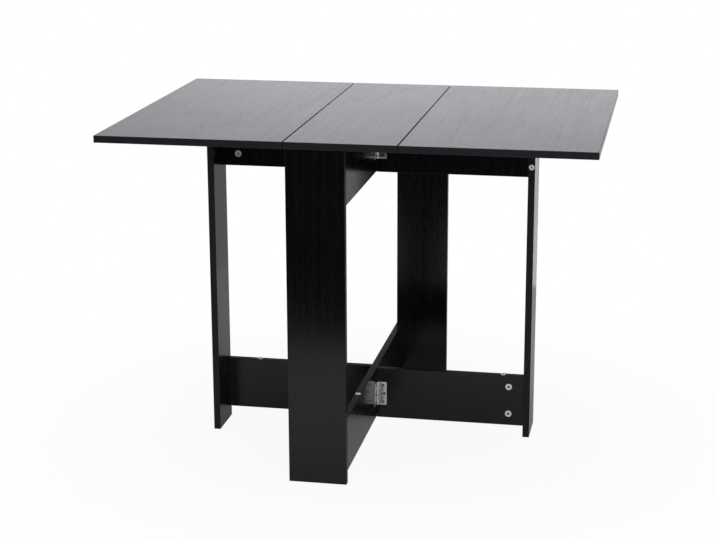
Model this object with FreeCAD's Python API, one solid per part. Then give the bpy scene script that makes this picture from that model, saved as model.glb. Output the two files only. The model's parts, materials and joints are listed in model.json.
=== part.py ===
import FreeCAD, Part
import math
import os

Vector = FreeCAD.Vector

# Folding gate-leg table in millimetres. The origin is on the floor under the middle of the top,
# +X runs to the right leaf, +Y to the back end and +Z up. The table is open, leaves level.

# Top: a fixed centre board between two drop leaves
TABLE_LENGTH = 1030.0
TABLE_DEPTH = 760.0
TABLE_HEIGHT = 735.0
BOARD = 15.0
CENTRE_WIDTH = 233.0
SEAM = 2.0
EDGE_EASE = 0.5

# Centre frame: two upright boards joined by an upper rail and a lower stretcher
END_SETBACK = 15.0
RAIL_HEIGHT = 118.0
RAIL_LIFT = 27.0

# Gates: a leg on two rails, which fold flat against the centre frame
GATE_FACE_OFFSET = 14.0
GATE_TOP_CLEARANCE = 0.3
FOLD_MARGIN = 1.0
RAIL_END_GAP = 0.5
RAIL_HEADROOM = 2.3

# Butt hinges: round pins in rolled knuckles with many narrow flats
KNUCKLE_RADIUS = 2.7
KNUCKLE_SIDES = 12
KNUCKLE_GAP = 0.3
PIN_RADIUS = 1.5
PIN_CLEARANCE = 0.05
PLATE = 1.2
PLATE_REACH = 21.0
GATE_HINGE_LENGTH = 55.0
GATE_HINGE_RISE = 58.0
GATE_HINGE_KNUCKLES = 5
LEAF_HINGE_LENGTH = 50.0
LEAF_HINGE_SPREAD = 240.0
LEAF_HINGE_KNUCKLES = 3

# Screw places on a hinge plate: shares of its reach from the pin and of its length from the middle
GATE_SCREW_SHARES = ((0.56, -0.36), (0.72, 0.0), (0.56, 0.36))
LEAF_SCREW_SHARES = ((0.62, -0.3), (0.62, 0.3))

# Countersunk screws with tapered shanks
SCREW_HEAD_RADIUS = 2.9
SCREW_RADIUS = 1.4
SCREW_TIP_RADIUS = 0.7
SCREW_LENGTH = 12.0
SCREW_SIDES = 6

# Cam locks in the boards' faces and the bolts that they draw in
CAM_RADIUS = 7.4
CAM_SIDES = 14
CAM_WALL = 2.5
CAM_SETBACK = 33.0
CAM_EDGE = 27.0
BOLT_SHANK_RADIUS = 3.4
BOLT_THREAD_RADIUS = 2.5
BOLT_GRIP = 11.0
BOLT_SIDES = 6

# Fluted dowels between the legs and the centre board
DOWEL_RADIUS = 4.0
DOWEL_IN_LEG = 20.0
DOWEL_IN_TOP = 10.0
DOWEL_SPREAD = 35.0
DOWEL_SIDES = 10

# Bevelled plugs in board edges, set in from the leg at the rail's end or down from the top
PLUG_RADIUS = 6.2
PLUG_TOP_RADIUS = 5.0
PLUG_HEIGHT = 1.3
PLUG_STEM_RADIUS = 2.5
PLUG_STEM = 4.0
PLUG_SIDES = 12
RIGHT_PLUG_INSET = 46.5
LEFT_PLUG_INSET = 73.5
STRETCHER_PLUG_INSET = 154.0
LEG_PLUG_DROP = 96.0

# Gap left round every fastener in its hole
FIT_GAP = 0.1

# Sizes and places that follow
HALF_LENGTH = TABLE_LENGTH / 2
HALF_DEPTH = TABLE_DEPTH / 2
HALF_BOARD = BOARD / 2
UNDERSIDE = TABLE_HEIGHT - BOARD
CENTRE_EDGE = CENTRE_WIDTH / 2
LEG_OUTER_FACE = HALF_DEPTH - END_SETBACK
LEG_INNER_FACE = LEG_OUTER_FACE - BOARD
LEG_MIDDLE = (HALF_BOARD - CENTRE_EDGE) / 2
RAIL_TOP = RAIL_LIFT + RAIL_HEIGHT
UPPER_RAIL_BASE = UNDERSIDE - RAIL_HEIGHT
PIN_OFFSET = KNUCKLE_RADIUS + KNUCKLE_GAP
PLATE_START = KNUCKLE_RADIUS + KNUCKLE_GAP
GATE_PIN = Vector(HALF_BOARD + PIN_OFFSET, -GATE_FACE_OFFSET - PIN_OFFSET, 0)
GATE_BACK = BOARD - GATE_FACE_OFFSET
GATE_LEG_FACE = GATE_PIN.x + GATE_PIN.y + LEG_OUTER_FACE
GATE_LEG_INNER = GATE_LEG_FACE - BOARD
GATE_LEG_WIDTH = CENTRE_EDGE - FOLD_MARGIN - HALF_BOARD - 2 * PIN_OFFSET
GATE_LEG_TOP = UNDERSIDE - GATE_TOP_CLEARANCE
GATE_RAIL_TOP = UNDERSIDE - PIN_OFFSET - KNUCKLE_RADIUS - RAIL_HEADROOM
LEAF_PIN = Vector(CENTRE_EDGE + SEAM / 2, 0, UNDERSIDE - PIN_OFFSET)
CAM_DEPTH = BOARD - CAM_WALL

RIGHT = Vector(1, 0, 0)
LEFT = Vector(-1, 0, 0)
BACK = Vector(0, 1, 0)
FRONT = Vector(0, -1, 0)
UP = Vector(0, 0, 1)
DOWN = Vector(0, 0, -1)
MIDDLE = Vector(0, 0, 0)
HALF_TURN = 180


def board(x, y, z):
    """Board between three pairs of planes, with eased edges."""
    box = Part.makeBox(x[1] - x[0], y[1] - y[0], z[1] - z[0], Vector(x[0], y[0], z[0]))
    return box.makeChamfer(EDGE_EASE, box.Edges)


def ring(radius, distance, sides):
    """Corners of an even polygon round the Z axis."""
    turns = [2 * math.pi * (step + 0.5) / sides for step in range(sides)]
    return [Vector(radius * math.cos(turn), radius * math.sin(turn), distance) for turn in turns]


def rod(profile, sides, start, direction):
    """Flat-sided turning: profile gives (distance, radius) pairs from start along the direction."""
    rings = [ring(radius, distance, sides) for distance, radius in profile]
    faces = [Part.Face(Part.makePolygon(end + end[:1])) for end in (rings[0], rings[-1])]
    for near, far in zip(rings, rings[1:]):
        for side in range(sides):
            corners = [near[side - 1], near[side], far[side], far[side - 1], near[side - 1]]
            faces.append(Part.Face(Part.makePolygon(corners)))
    solid = Part.makeSolid(Part.makeShell(faces))
    if solid.Volume < 0:
        solid.reverse()
    solid.Placement = FreeCAD.Placement(start, FreeCAD.Rotation(UP, direction))
    return solid


def hole_for(profile, sides, start, direction):
    """Cutter that leaves the fit gap round a rod and past its far end."""
    grown = [(distance, radius + FIT_GAP) for distance, radius in profile]
    grown[-1] = (grown[-1][0] + FIT_GAP, grown[-1][1])
    return rod(grown, sides, start, direction)


class Assembly:
    """Solids gathered by node, and the cutters that each board still has to take."""

    def __init__(self):
        self.solids = {}
        self.cutters = {}

    def add(self, node, solid):
        self.solids.setdefault(node, []).append(solid)

    def drill(self, node, cutter):
        self.cutters.setdefault(node, []).append(cutter)

    def shapes(self):
        """One shape per node, with its holes cut."""
        made = {}
        for node, solids in self.solids.items():
            cutters = self.cutters.get(node)
            done = [solid.cut(cutters) for solid in solids] if cutters else solids
            made[node] = done[0] if len(done) == 1 else Part.makeCompound(done)
        return made

    def fit_screw(self, node, holes, start, direction):
        """Countersunk screw through a hinge plate into a board."""
        profile = [(0, SCREW_HEAD_RADIUS), (PLATE, SCREW_RADIUS), (SCREW_LENGTH, SCREW_TIP_RADIUS)]
        self.add(node, rod(profile, SCREW_SIDES, start, direction))
        for hole in holes:
            self.drill(hole, hole_for(profile, SCREW_SIDES, start, direction))

    def fit_cam(self, prefix, holder, taker, joint, into, face):
        """Cam lock in the holder's face, and its bolt across the joint into the taker."""
        centre = joint - into * CAM_SETBACK
        mouth = centre + face * HALF_BOARD
        profile = [
            (0, BOLT_SHANK_RADIUS),
            (CAM_SETBACK, BOLT_SHANK_RADIUS),
            (CAM_SETBACK, BOLT_THREAD_RADIUS),
            (CAM_SETBACK + BOLT_GRIP, BOLT_THREAD_RADIUS),
        ]
        bolt_hole = hole_for(profile, BOLT_SIDES, centre, into)
        disc = [(0, CAM_RADIUS), (CAM_DEPTH, CAM_RADIUS)]
        self.add(prefix + "_cam_locks", rod(disc, CAM_SIDES, mouth, face * -1).cut(bolt_hole))
        self.add(prefix + "_cam_bolts", rod(profile, BOLT_SIDES, centre, into))
        self.drill(holder, hole_for(disc, CAM_SIDES, mouth, face * -1))
        self.drill(holder, bolt_hole)
        self.drill(taker, bolt_hole)

    def fit_dowel(self, node, holders, start):
        """Upright dowel from a leg into the centre board."""
        profile = [(0, DOWEL_RADIUS), (DOWEL_IN_LEG + DOWEL_IN_TOP, DOWEL_RADIUS)]
        self.add(node, rod(profile, DOWEL_SIDES, start, UP))
        for holder in holders:
            self.drill(holder, hole_for(profile, DOWEL_SIDES, start, UP))

    def fit_plug(self, node, holder, seat, outward):
        """Bevelled plug whose head sits on a board's edge and whose stem fills a hole there."""
        stem = [(-PLUG_STEM, PLUG_STEM_RADIUS), (0, PLUG_STEM_RADIUS)]
        head = [(0, PLUG_RADIUS), (PLUG_HEIGHT, PLUG_TOP_RADIUS)]
        self.add(node, rod(stem + head, PLUG_SIDES, seat, outward))
        bore = [(0, PLUG_STEM_RADIUS), (PLUG_STEM, PLUG_STEM_RADIUS)]
        self.drill(holder, hole_for(bore, PLUG_SIDES, seat, outward * -1))

    def fit_hinge_plate(self, node, screws, carrier, pin, axes, length, owned, shares):
        """Hinge plate on its carrier, with the knuckles that it owns, and its screws.

        axes are the plate's outward direction from the pin and the normal of the carrier's face.
        owned is the knuckle count and which of the two plates this is.
        """
        outward, normal = axes
        along = outward.cross(normal)
        place = FreeCAD.Placement(pin, FreeCAD.Rotation(outward, normal, along, "XYZ"))
        plate = hinge_plate(length, owned)
        plate.Placement = place
        self.add(node, plate)
        for reach_share, length_share in shares:
            head = Vector(PLATE_REACH * reach_share, PLATE - PIN_OFFSET, length * length_share)
            self.fit_screw(screws, (node, carrier), place.multVec(head), normal * -1)


def hinge_plate(length, owned):
    """Plate with rolled knuckles round the Z axis, seated on the plane one pin offset below it."""
    count, first = owned
    pitch = length / count
    seat = -PIN_OFFSET
    base = -length / 2
    plate = Part.makeBox(PLATE_REACH - PLATE_START, PLATE, length, Vector(PLATE_START, seat, base))
    knuckles = []
    for index in range(first, count, 2):
        low = base + index * pitch + KNUCKLE_GAP / 2
        height = pitch - KNUCKLE_GAP
        knuckles.append(Part.makeBox(PLATE_START, PLATE, height, Vector(0, seat, low)))
        barrel = [(0, KNUCKLE_RADIUS), (height, KNUCKLE_RADIUS)]
        knuckles.append(rod(barrel, KNUCKLE_SIDES, Vector(0, 0, low), UP))
    eye = (PIN_RADIUS + PIN_CLEARANCE) / math.cos(math.pi / KNUCKLE_SIDES)
    bore = rod([(0, eye), (length, eye)], KNUCKLE_SIDES, Vector(0, 0, base), UP)
    return plate.fuse(knuckles).cut(bore).removeSplitter()


def hinge_pin(pin, axis, length):
    """Plain pin, as long as the hinge, centred on the given point."""
    return Part.makeCylinder(PIN_RADIUS, length, pin - axis * (length / 2), axis)


def cam_heights(base, top):
    """Levels of the two cam locks in a rail's end."""
    return base + CAM_EDGE, top - CAM_EDGE


def build_frame(table):
    """Centre board, the two end legs, the rails between them and their fasteners."""
    table.add("centre_top", board((-CENTRE_EDGE, CENTRE_EDGE), (-HALF_DEPTH, HALF_DEPTH),
                                  (UNDERSIDE, TABLE_HEIGHT)))
    leg = board((-CENTRE_EDGE, HALF_BOARD), (-LEG_OUTER_FACE, -LEG_INNER_FACE), (0, UNDERSIDE))
    table.add("front_leg", leg)
    table.add("back_leg", leg.rotated(MIDDLE, UP, HALF_TURN))
    rails = {"lower_stretcher": (RAIL_LIFT, RAIL_TOP), "upper_centre_rail": (UPPER_RAIL_BASE, UNDERSIDE)}
    for rail, levels in rails.items():
        table.add(rail, board((-HALF_BOARD, HALF_BOARD), (-LEG_INNER_FACE, LEG_INNER_FACE), levels))
        for height in cam_heights(*levels):
            for end_leg, outward in (("front_leg", FRONT), ("back_leg", BACK)):
                joint = outward * LEG_INNER_FACE + UP * height
                table.fit_cam("frame", rail, end_leg, joint, outward, LEFT)
    fix_centre_top(table, "front_leg", FRONT, LEG_MIDDLE)
    fix_centre_top(table, "back_leg", BACK, -LEG_MIDDLE)
    seat = Vector(0, STRETCHER_PLUG_INSET - LEG_INNER_FACE, RAIL_TOP)
    table.fit_plug("stretcher_edge_plug", "lower_stretcher", seat, UP)


def fix_centre_top(table, leg, outward, middle):
    """Cam lock and two dowels that hold the centre board on a leg."""
    joint = outward * (LEG_INNER_FACE + HALF_BOARD) + RIGHT * middle + UP * UNDERSIDE
    table.fit_cam("frame", leg, "centre_top", joint, UP, outward * -1)
    for side in (LEFT, RIGHT):
        foot = joint + side * DOWEL_SPREAD + DOWN * DOWEL_IN_LEG
        table.fit_dowel("frame_dowels", (leg, "centre_top"), foot)


def build_gate(table, side, plug_inset):
    """Right-hand gate: its leg, its rails, their cam locks, and the plugs in its edges."""
    leg = side + "_gate_leg"
    upper = side + "_gate_upper_rail"
    lower = side + "_gate_lower_rail"
    depth = (-GATE_FACE_OFFSET, GATE_BACK)
    length = (HALF_BOARD + RAIL_END_GAP, GATE_LEG_INNER)
    leg_depth = (-GATE_FACE_OFFSET, GATE_LEG_WIDTH - GATE_FACE_OFFSET)
    table.add(leg, board((GATE_LEG_INNER, GATE_LEG_FACE), leg_depth, (0, GATE_LEG_TOP)))
    for rail, levels, face in (
        (lower, (RAIL_LIFT, RAIL_TOP), FRONT),
        (upper, (UPPER_RAIL_BASE, GATE_RAIL_TOP), BACK),
    ):
        table.add(rail, board(length, depth, levels))
        for height in cam_heights(*levels):
            joint = Vector(GATE_LEG_INNER, GATE_BACK - HALF_BOARD, height)
            table.fit_cam(side + "_gate", rail, leg, joint, RIGHT, face)
    plugs = side + "_gate_edge_plugs"
    seat = Vector(GATE_LEG_INNER - plug_inset, GATE_BACK - HALF_BOARD, RAIL_TOP)
    table.fit_plug(plugs, lower, seat, UP)
    edge = Vector(GATE_LEG_FACE - HALF_BOARD, -GATE_FACE_OFFSET, UNDERSIDE - LEG_PLUG_DROP)
    table.fit_plug(plugs, leg, edge, FRONT)


def build_gate_hinges(table, side):
    """Two hinges between the right faces of the centre rails and the front faces of the gate's rails."""
    gate = side + "_gate"
    for level, carrier, base in (
        ("lower", "lower_stretcher", RAIL_LIFT),
        ("upper", "upper_centre_rail", UPPER_RAIL_BASE),
    ):
        name = f"{gate}_{level}_hinge"
        rail = f"{gate}_{level}_rail"
        pin = GATE_PIN + UP * (base + GATE_HINGE_RISE)
        table.add(name + "_pin", hinge_pin(pin, UP, GATE_HINGE_LENGTH))
        table.fit_hinge_plate(name + "_frame_plate", "frame_hinge_screws", carrier, pin,
                              (FRONT, RIGHT), GATE_HINGE_LENGTH, (GATE_HINGE_KNUCKLES, 1),
                              GATE_SCREW_SHARES)
        table.fit_hinge_plate(name + "_gate_plate", gate + "_hinge_screws", rail, pin,
                              (RIGHT, FRONT), GATE_HINGE_LENGTH, (GATE_HINGE_KNUCKLES, 0),
                              GATE_SCREW_SHARES)


def build_leaf(table, side):
    """Right-hand drop leaf and its two hinges under the seam."""
    leaf = side + "_leaf"
    inner = CENTRE_EDGE + SEAM
    table.add(leaf, board((inner, HALF_LENGTH), (-HALF_DEPTH, HALF_DEPTH), (UNDERSIDE, TABLE_HEIGHT)))
    ends = ("front", "back") if side == "right" else ("back", "front")
    for end, direction in zip(ends, (FRONT, BACK)):
        name = f"{leaf}_{end}_hinge"
        pin = LEAF_PIN + direction * LEAF_HINGE_SPREAD
        table.add(name + "_pin", hinge_pin(pin, BACK, LEAF_HINGE_LENGTH))
        table.fit_hinge_plate(name + "_top_plate", "frame_hinge_screws", "centre_top", pin,
                              (LEFT, DOWN), LEAF_HINGE_LENGTH, (LEAF_HINGE_KNUCKLES, 1),
                              LEAF_SCREW_SHARES)
        table.fit_hinge_plate(name + "_leaf_plate", leaf + "_hinge_screws", leaf, pin,
                              (RIGHT, DOWN), LEAF_HINGE_LENGTH, (LEAF_HINGE_KNUCKLES, 0),
                              LEAF_SCREW_SHARES)


def half_turned(shape):
    """The same shape on the other side of the table."""
    return shape.rotated(MIDDLE, UP, HALF_TURN)


def build_side(table, side, plug_inset):
    """One gate and one leaf, built on the right and given half a turn for the left."""
    built = Assembly()
    build_gate(built, side, plug_inset)
    build_gate_hinges(built, side)
    build_leaf(built, side)
    turn = half_turned if side == "left" else Part.Shape.copy
    for node, solids in built.solids.items():
        for solid in solids:
            table.add(node, turn(solid))
    for node, cutters in built.cutters.items():
        for cutter in cutters:
            table.drill(node, turn(cutter))


def main():
    table = Assembly()
    build_frame(table)
    build_side(table, "right", RIGHT_PLUG_INSET)
    build_side(table, "left", LEFT_PLUG_INSET)
    os.makedirs("parts", exist_ok=True)
    for node, shape in table.shapes().items():
        shape.exportStep("parts/" + node + ".step")


main()
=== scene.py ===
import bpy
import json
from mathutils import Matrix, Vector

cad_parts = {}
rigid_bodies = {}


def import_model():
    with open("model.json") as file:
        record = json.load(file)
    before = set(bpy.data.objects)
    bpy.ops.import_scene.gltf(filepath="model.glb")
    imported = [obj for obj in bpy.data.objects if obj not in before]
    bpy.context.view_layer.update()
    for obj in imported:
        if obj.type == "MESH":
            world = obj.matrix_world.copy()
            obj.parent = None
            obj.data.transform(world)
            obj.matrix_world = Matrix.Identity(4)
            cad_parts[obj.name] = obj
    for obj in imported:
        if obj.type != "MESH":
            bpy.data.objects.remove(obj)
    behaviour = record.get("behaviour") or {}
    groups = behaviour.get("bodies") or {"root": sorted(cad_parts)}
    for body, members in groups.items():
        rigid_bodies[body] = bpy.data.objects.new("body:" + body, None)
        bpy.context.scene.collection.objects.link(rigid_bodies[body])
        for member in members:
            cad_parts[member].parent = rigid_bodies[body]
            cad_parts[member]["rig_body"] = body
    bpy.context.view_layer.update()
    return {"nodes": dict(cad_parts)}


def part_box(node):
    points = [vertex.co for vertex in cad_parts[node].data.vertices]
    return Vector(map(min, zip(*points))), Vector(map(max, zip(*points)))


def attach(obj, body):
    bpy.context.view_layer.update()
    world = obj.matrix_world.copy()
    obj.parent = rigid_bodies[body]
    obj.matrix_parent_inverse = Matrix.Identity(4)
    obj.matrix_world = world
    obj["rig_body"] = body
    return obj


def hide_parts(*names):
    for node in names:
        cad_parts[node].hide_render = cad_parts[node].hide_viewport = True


bl_info = {
    "name": "Folding gate-leg table",
    "version": (1, 0, 0),
    "blender": (4, 5, 0),
    "location": "View3D > Sidebar > Folding table",
    "description": "Dresses the packed folding table with boards, hinges, fittings and a studio",
    "category": "Object",
}

import json
import math

import bmesh
import bpy
from bpy.props import FloatProperty, FloatVectorProperty, IntProperty, PointerProperty
from bpy.types import Operator, Panel, PropertyGroup
from mathutils import Matrix, Vector

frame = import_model()

MM = 0.001

# Boards of the table and the hinges between them, by their CAD nodes
SIDES = ("right", "left")
TOP_BOARDS = ("centre_top", "right_leaf", "left_leaf")
FRAME_BOARDS = ("front_leg", "back_leg", "lower_stretcher", "upper_centre_rail")
GATE_BOARDS = tuple(
    f"{side}_gate_{board}" for side in SIDES for board in ("leg", "upper_rail", "lower_rail")
)
BOARDS = TOP_BOARDS + FRAME_BOARDS + GATE_BOARDS
GATE_HINGES = tuple(f"{side}_gate_{level}_hinge" for side in SIDES for level in ("lower", "upper"))
LEAF_HINGES = tuple(f"{side}_leaf_{end}_hinge" for side in SIDES for end in ("front", "back"))
CAM_LOCKS = ("frame_cam_locks", "right_gate_cam_locks", "left_gate_cam_locks")
HINGE_SCREWS = tuple(n for n in sorted(frame["nodes"]) if n.endswith("_hinge_screws"))
EDGE_PLUGS = ("stretcher_edge_plug", "right_gate_edge_plugs", "left_gate_edge_plugs")
CAM_BOLTS = ("frame_cam_bolts", "right_gate_cam_bolts", "left_gate_cam_bolts")

# Each hinge's plates, with the knuckles that each one rolls
GATE_PLATES = {"frame_plate": (5, (1, 3)), "gate_plate": (5, (0, 2, 4))}
LEAF_PLATES = {"top_plate": (3, (1,)), "leaf_plate": (3, (0, 2))}

# Attributes that the finishes read: grain runs along its first axis, arris marks the eased edges
GRAIN = "grain"
ARRIS = "arris"

# Attributes that the fittings' trees use: where a seat faces, and the faces of a recess, which get
# a dark painted shade
FACING = "facing"
RECESS = "recess"

# Shift of the grain from one board to the next, and the foil's bluish gloss
GRAIN_SHIFT = Vector((0.377, 0.613, 0.829))
FOIL_TINT = (0.965, 0.965, 1.0, 1.0)

# Number of the upright axis, and limits for flat faces, equal points, level faces and soft edges
UP = 2
BOARD_AXIS_LIMIT = 0.99
WELD = 2e-6
FLUSH = 0.2 * MM
SMOOTH_LIMIT = math.radians(35)


def setting(kind, **shared):
    """Maker of settings of one kind: each has its own name, description and default."""
    def make(name, description, default):
        return kind(name=name, description=description, default=default, **shared)

    return make


a_length = setting(FloatProperty, subtype="DISTANCE", unit="LENGTH", min=0.1 * MM, max=40 * MM)
a_colour = setting(FloatVectorProperty, subtype="COLOR", size=3, min=0, max=1)
a_share = setting(FloatProperty, subtype="FACTOR", min=0, max=1)
a_level = setting(FloatProperty, min=0, max=2)
a_power = setting(FloatProperty, subtype="POWER", unit="POWER", min=0)


class BoardSettings(PropertyGroup):
    """Boards of black grained melamine with edge bands."""

    arris: a_length("Arris", "Radius of the eased board edges", 0.9 * MM)
    arris_steps: IntProperty(
        name="Arris steps", description="Facets across an eased edge", default=3, min=1, max=6)
    face_colour: a_colour("Face", "Ground colour of the melamine faces", (0.0011, 0.0011, 0.0012))
    streak_colour: a_colour(
        "Streaks", "Colour of the paler grain streaks", (0.0034, 0.0034, 0.0036))
    band_colour: a_colour("Edge band", "Colour of the edge bands", (0.0195, 0.0195, 0.023))
    gloss_roughness: a_share("Roughness", "Roughness of the satin faces", 0.17)
    band_roughness: a_share("Band roughness", "Roughness of the edge bands", 0.16)
    pocket_gap: a_length("Pocket gap", "Gap round a cam lock in its pocket", 0.1 * MM)


class HingeSettings(PropertyGroup):
    """Butt hinges rolled from nickel-plated sheet."""

    sheet: a_length("Sheet", "Thickness of the hinge sheet", 1.17 * MM)
    barrel: a_length("Barrel radius", "Outer radius of the rolled knuckles", 2.7 * MM)
    seat_offset: a_length("Seat offset", "Distance from the pin to the board's face", 3 * MM)
    knuckle_gap: a_length("Knuckle gap", "Gap between neighbouring knuckles", 0.3 * MM)
    corner: a_length("Corner radius", "Radius of the plate's outer corners", 2.2 * MM)
    roll_turn: FloatProperty(
        name="Roll", description="Turn of the sheet round the pin", default=math.radians(300),
        min=math.radians(180), max=math.radians(310), subtype="ANGLE", unit="ROTATION")
    colour: a_colour("Nickel", "Colour of the hinge metal", (0.93, 0.91, 0.87))


class FittingSettings(PropertyGroup):
    """Screws, cam locks and edge plugs."""

    screw_head: a_length("Screw head", "Radius of a screw head", 2.8 * MM)
    screw_shank: a_length("Screw shank", "Radius of a screw under its head", 1.35 * MM)
    screw_length: a_length("Screw length", "Length of a screw", 12 * MM)
    screw_colour: a_colour("Screws", "Colour of the hinge screws", (0.13, 0.125, 0.12))
    cam_radius: a_length("Cam radius", "Radius of a cam lock", 7.4 * MM)
    cam_depth: a_length("Cam depth", "Depth of a cam lock", 12.5 * MM)
    plug_radius: a_length("Plug radius", "Radius of an edge plug's head", 6.2 * MM)
    plug_height: a_length("Plug height", "Height of an edge plug's head", 1.3 * MM)
    zinc_colour: a_colour("Zinc", "Colour of the cam locks", (0.93, 0.93, 0.94))
    plug_colour: a_colour("Plug", "Colour of the edge plugs", (0.9, 0.9, 0.9))
    seed: IntProperty(
        name="Seed", description="Seed for the way that slots are turned", default=7, min=0)


class StageSettings(PropertyGroup):
    """Studio floor, light and camera."""

    floor_colour: a_colour("Floor", "Colour of the floor", (0.74, 0.745, 0.76))
    back_level: a_level("Backdrop", "Brightness of the backdrop behind the table", 1.46)
    front_level: a_level("Front", "Brightness of the room's upper part in front of the table", 0.75)
    shade_level: a_level("Shade", "Brightness of the room's lower part in front of the table", 0.02)
    ground_level: a_level("Ground", "Brightness of the ground beyond the floor", 0.22)
    sweep_level: a_level("Sweep", "Brightness of the ground straight behind the table", 1.0)
    fill_level: a_level("Fill", "Brightness of the soft light from all round", 0.22)
    key_power: a_power("Key light", "Power of the soft box over the table", 28)
    front_power: a_power("Front light", "Power of the soft box beside the camera", 84)
    camera_place: FloatVectorProperty(
        name="Camera", description="Place of the camera", size=3,
        default=(0.686, -3.711, 1.4007), subtype="TRANSLATION", unit="LENGTH")
    camera_turn: FloatVectorProperty(
        name="Camera turn", description="Downward tilt, roll and turn of the camera", size=3,
        default=(math.radians(15.239), math.radians(0.218), math.radians(11.028)),
        subtype="EULER", unit="ROTATION")
    lens: FloatProperty(
        name="Lens", description="Focal length of the camera in millimetres",
        default=87.17, min=10, max=300)


class TableSettings(PropertyGroup):
    """All sizes and colours of the dressed table."""

    boards: PointerProperty(type=BoardSettings)
    hinges: PointerProperty(type=HingeSettings)
    fittings: PointerProperty(type=FittingSettings)
    stage: PointerProperty(type=StageSettings)


def settings():
    return bpy.context.scene.folding_table


def feed(tree, node, inputs):
    """Fills a node's inputs: one that is given a socket is linked, any other is set."""
    for key, value in dict(inputs).items():
        for one in value if isinstance(value, list) else [value]:
            if isinstance(one, bpy.types.NodeSocket):
                tree.links.new(one, node.inputs[key])
            else:
                node.inputs[key].default_value = one


def lay(tree, kind, inputs=(), **options):
    """Lays a new node in a tree and gives its outputs."""
    node = tree.nodes.new(kind)
    for key, value in options.items():
        setattr(node, key, value)
    feed(tree, node, inputs)
    return node.outputs


def noise(tree, vector, stretch, octaves, roughness=0.55):
    """Noise over stretched coordinates, from 0 to 1."""
    place = lay(tree, "ShaderNodeMapping", {"Vector": vector, "Scale": stretch})[0]
    return lay(tree, "ShaderNodeTexNoise", {
        "Vector": place, "Scale": 1.0, "Detail": octaves, "Roughness": roughness})["Fac"]


def ranged(tree, value, low, high, to_low=0.0, to_high=1.0):
    """Value moved from one range into another and held there."""
    return lay(tree, "ShaderNodeMapRange", {
        "Value": value, "From Min": low, "From Max": high, "To Min": to_low, "To Max": to_high})[0]


def maths(tree, operation, *values):
    return lay(tree, "ShaderNodeMath", dict(enumerate(values)), operation=operation)[0]


def scaled(tree, value, weight):
    return maths(tree, "MULTIPLY", value, weight)


def added(tree, base, value, weight):
    """The base with a weighted value on top of it."""
    return maths(tree, "MULTIPLY_ADD", value, weight, base)


def mixed(tree, share, first, second):
    """Colour between two colours."""
    return lay(tree, "ShaderNodeMix", {0: share, 6: first, 7: second}, data_type="RGBA")[2]


def between(tree, share, first, second):
    """Number between two numbers."""
    return lay(tree, "ShaderNodeMix", {0: share, 2: first, 3: second}, data_type="FLOAT")[0]


def opaque(colour, shade=1.0):
    """Colour for a node's socket, made darker or paler by a shade."""
    return (*(part * shade for part in colour), 1.0)


def bumped(tree, height, strength, distance):
    return lay(tree, "ShaderNodeBump", {
        "Height": height, "Strength": strength, "Distance": distance})[0]


def new_finish(name):
    """Empty finish: the material, its tree and its shader."""
    finish = bpy.data.materials.new(name)
    finish.use_nodes = True
    return finish, finish.node_tree, finish.node_tree.nodes["Principled BSDF"]


# Octaves of a noise: in pits and pores, in soft changes of tone and in mottled surfaces
PIT_OCTAVES, SOFT_OCTAVES, MOTTLE_OCTAVES = 2.0, 3.0, 4.0

# The middle of a noise's range, which holds most of its values, and the part that makes patches
MIDDLE = (0.3, 0.7)
PATCHY = (0.35, 0.7)

# Black foil: scales per metre along the grain and across it, and the range that shows
STREAK_SCALE, STREAK_RANGE = (2.4, 110, 110), (0.38, 0.66)
STREAK_OCTAVES, STREAK_NOISE = 6.0, 0.62
STRIPE_SCALE = (0.9, 17, 17)
PORE_SCALE, PORE_RANGE = (55, 1500, 1500), (0.57, 0.7)
TOUCH_SCALE = (7, 9, 9)
SPECKLE_SCALE = (900, 1600, 1600)
# The arris patches are partly wear and partly a painted highlight along the eased edges
WEAR_AND_HIGHLIGHT_SCALE, WEAR_AND_HIGHLIGHT_RANGE = (60, 300, 300), (0.45, 0.75)

# What they add to its colour, its roughness and its relief
STREAK_SHARE, PORE_SHARE, WEAR_AND_HIGHLIGHT_SHARE = 0.7, 0.5, 0.6
PORE_SHADE, WEAR_AND_HIGHLIGHT_PALENESS = 0.35, 3.2
TOUCH_GLOSS, TOUCH_DULL = 0.01, 0.014
PORE_DULL, STREAK_DULL, WEAR_DULL = 0.15, 0.03, 0.12
PORE_HEIGHT, STREAK_HEIGHT, SPECKLE_HEIGHT = -0.7, 0.25, 0.12
FOIL_IOR, FOIL_DEPTH = 1.5, 0.06 * MM
FACE_RELIEF, FACE_SHINE = 0.22, 0.5
BAND_RELIEF, BAND_SHINE, BAND_SHADE = 0.18, 0.03, 0.8


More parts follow.
